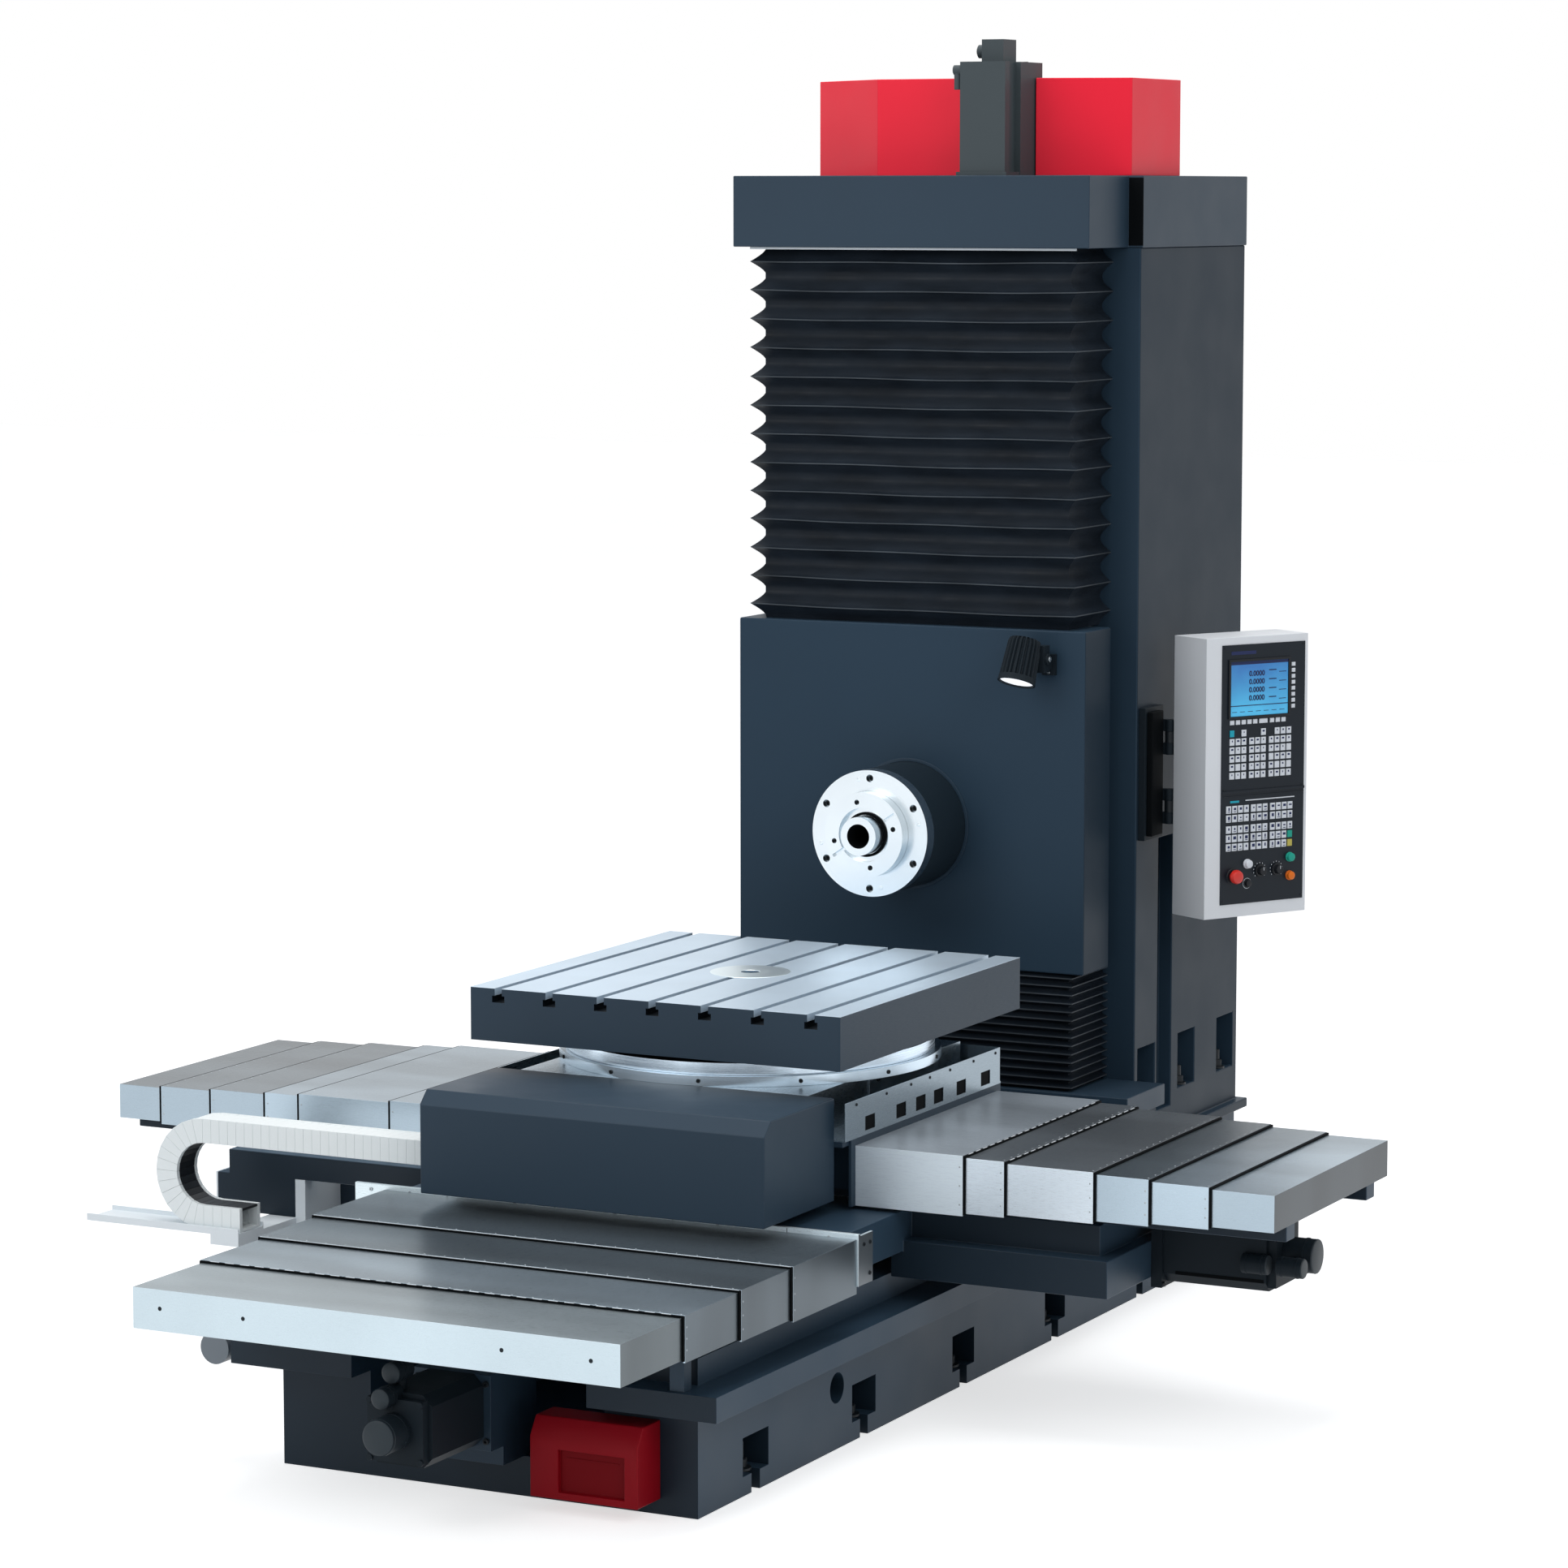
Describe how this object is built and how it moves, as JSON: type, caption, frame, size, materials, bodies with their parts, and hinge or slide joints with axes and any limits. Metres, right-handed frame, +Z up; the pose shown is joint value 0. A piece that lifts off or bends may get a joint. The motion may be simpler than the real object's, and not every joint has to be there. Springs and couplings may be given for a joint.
{
  "type": "horizontal boring mill",
  "caption": "Table-type horizontal boring mill: fixed column, rising headstock with boring bar, cross-sliding rotary table, telescopic way covers and swinging control pendant.",
  "frame": {"origin": "on the floor, under the table's turning axis, on the bed's underside", "axes": "+X to the operator's right when facing the column, +Y back towards the column, +Z up"},
  "size_m": [3.4737, 4.063, 3.638],
  "materials": {
    "dark_paint": "semi-gloss",
    "red_paint": "gloss",
    "stainless_sheet": "brushed",
    "ground_iron": "ground",
    "ground_steel": "ground",
    "motor_black": "satin",
    "bellows_black": "matt",
    "white_plastic": "matt",
    "light_grey_paint": "satin",
    "panel_black": "satin",
    "screen_blue": "gloss",
    "stop_red": "gloss",
    "dial_black": "matt",
    "drum_grey": "satin"
  },
  "bodies": {
    "base": {"bed": "dark_paint", "bed_rails": "ground_steel", "feed_screw": "ground_steel", "bed_motor": "motor_black", "bed_motor_mount": "dark_paint", "chip_chute": "red_paint", "front_drum": "drum_grey", "column": "dark_paint", "column_rails": "ground_steel", "column_cap": "dark_paint", "top_guard": "red_paint", "lift_motor": "motor_black", "bellows_sill": "dark_paint", "upper_bellows": "bellows_black", "lower_bellows": "bellows_black", "cover_bracket": "dark_paint", "front_cover_4": "stainless_sheet", "rear_cover_4": "stainless_sheet", "pendant_bracket": "motor_black"},
    "saddle": {"saddle": "dark_paint", "saddle_rails": "ground_steel", "cover_plates": "light_grey_paint", "cross_motor": "motor_black", "chain_tray": "light_grey_paint", "energy_chain": "white_plastic", "front_cover_1": "stainless_sheet", "rear_cover_1": "stainless_sheet", "right_cover_6": "stainless_sheet", "left_cover_6": "stainless_sheet"},
    "carriage": {"carriage": "dark_paint", "rotary_base": "ground_steel", "front_box": "dark_paint", "right_cover_1": "stainless_sheet", "left_cover_1": "stainless_sheet"},
    "table": {"table": "ground_iron", "table_centre": "ground_steel", "table_ring": "ground_steel"},
    "headstock": {"headstock": "dark_paint", "spindle_housing": "dark_paint", "nose_flange": "ground_steel", "work_lamp": "motor_black"},
    "spindle": {"milling_spindle": "ground_steel"},
    "bar": {"boring_bar": "ground_steel"},
    "pendant": {"pendant_housing": "light_grey_paint", "pendant_panel": "panel_black", "pendant_screen": "screen_blue", "pendant_stop": "stop_red", "pendant_dials": "dial_black"},
    "right_panel_2": {"right_cover_2": "stainless_sheet"},
    "right_panel_3": {"right_cover_3": "stainless_sheet"},
    "right_panel_4": {"right_cover_4": "stainless_sheet"},
    "right_panel_5": {"right_cover_5": "stainless_sheet"},
    "left_panel_2": {"left_cover_2": "stainless_sheet"},
    "left_panel_3": {"left_cover_3": "stainless_sheet"},
    "left_panel_4": {"left_cover_4": "stainless_sheet"},
    "left_panel_5": {"left_cover_5": "stainless_sheet"},
    "front_panel_2": {"front_cover_2": "stainless_sheet"},
    "front_panel_3": {"front_cover_3": "stainless_sheet"},
    "rear_panel_2": {"rear_cover_2": "stainless_sheet"},
    "rear_panel_3": {"rear_cover_3": "stainless_sheet"}
  },
  "joints": [
    {"name": "saddle_slide", "type": "slide", "parent": "base", "child": "saddle", "axis": [0, 1, 0], "range_m": [-0.7, 0.2]},
    {"name": "carriage_slide", "type": "slide", "parent": "saddle", "child": "carriage", "axis": [1, 0, 0], "range_m": [-0.48, 0.48]},
    {"name": "table_turn", "type": "hinge", "parent": "carriage", "child": "table", "pos_m": [0, 0, 0.962], "axis": [0, 0, 1], "continuous": true},
    {"name": "headstock_slide", "type": "slide", "parent": "base", "child": "headstock", "axis": [0, 0, 1], "range_m": [-0.1, 0.65], "deforming": ["upper_bellows", "lower_bellows"]},
    {"name": "spindle_spin", "type": "hinge", "parent": "headstock", "child": "spindle", "pos_m": [0, 0.7, 1.398], "axis": [0, 1, 0], "continuous": true},
    {"name": "bar_slide", "type": "slide", "parent": "spindle", "child": "bar", "axis": [0, -1, 0], "range_m": [0, 0.5]},
    {"name": "pendant_swing", "type": "hinge", "parent": "base", "child": "pendant", "pos_m": [0.65, 1.39, 1.5], "axis": [0, 0, 1], "range_deg": [-60, 20]},
    {"name": "right_panel_2_slide", "type": "slide", "parent": "saddle", "child": "right_panel_2", "axis": [1, 0, 0], "range_m": [-0.384, 0.384]},
    {"name": "right_panel_3_slide", "type": "slide", "parent": "saddle", "child": "right_panel_3", "axis": [1, 0, 0], "range_m": [-0.288, 0.288]},
    {"name": "right_panel_4_slide", "type": "slide", "parent": "saddle", "child": "right_panel_4", "axis": [1, 0, 0], "range_m": [-0.192, 0.192]},
    {"name": "right_panel_5_slide", "type": "slide", "parent": "saddle", "child": "right_panel_5", "axis": [1, 0, 0], "range_m": [-0.096, 0.096]},
    {"name": "left_panel_2_slide", "type": "slide", "parent": "saddle", "child": "left_panel_2", "axis": [1, 0, 0], "range_m": [-0.384, 0.384]},
    {"name": "left_panel_3_slide", "type": "slide", "parent": "saddle", "child": "left_panel_3", "axis": [1, 0, 0], "range_m": [-0.288, 0.288]},
    {"name": "left_panel_4_slide", "type": "slide", "parent": "saddle", "child": "left_panel_4", "axis": [1, 0, 0], "range_m": [-0.192, 0.192]},
    {"name": "left_panel_5_slide", "type": "slide", "parent": "saddle", "child": "left_panel_5", "axis": [1, 0, 0], "range_m": [-0.096, 0.096]},
    {"name": "front_panel_2_slide", "type": "slide", "parent": "base", "child": "front_panel_2", "axis": [0, 1, 0], "range_m": [-0.4668, 0.1334]},
    {"name": "front_panel_3_slide", "type": "slide", "parent": "base", "child": "front_panel_3", "axis": [0, 1, 0], "range_m": [-0.2334, 0.0668]},
    {"name": "rear_panel_2_slide", "type": "slide", "parent": "base", "child": "rear_panel_2", "axis": [0, 1, 0], "range_m": [-0.4668, 0.1334]},
    {"name": "rear_panel_3_slide", "type": "slide", "parent": "base", "child": "rear_panel_3", "axis": [0, 1, 0], "range_m": [-0.2334, 0.0668]}
  ],
  "couplings": [
    {"joint": "right_panel_2_slide", "follows": "carriage_slide", "ratio": 0.8},
    {"joint": "right_panel_3_slide", "follows": "carriage_slide", "ratio": 0.6},
    {"joint": "right_panel_4_slide", "follows": "carriage_slide", "ratio": 0.4},
    {"joint": "right_panel_5_slide", "follows": "carriage_slide", "ratio": 0.2},
    {"joint": "left_panel_2_slide", "follows": "carriage_slide", "ratio": 0.8},
    {"joint": "left_panel_3_slide", "follows": "carriage_slide", "ratio": 0.6},
    {"joint": "left_panel_4_slide", "follows": "carriage_slide", "ratio": 0.4},
    {"joint": "left_panel_5_slide", "follows": "carriage_slide", "ratio": 0.2},
    {"joint": "front_panel_2_slide", "follows": "saddle_slide", "ratio": 0.66667},
    {"joint": "front_panel_3_slide", "follows": "saddle_slide", "ratio": 0.33333},
    {"joint": "rear_panel_2_slide", "follows": "saddle_slide", "ratio": 0.66667},
    {"joint": "rear_panel_3_slide", "follows": "saddle_slide", "ratio": 0.33333}
  ]
}
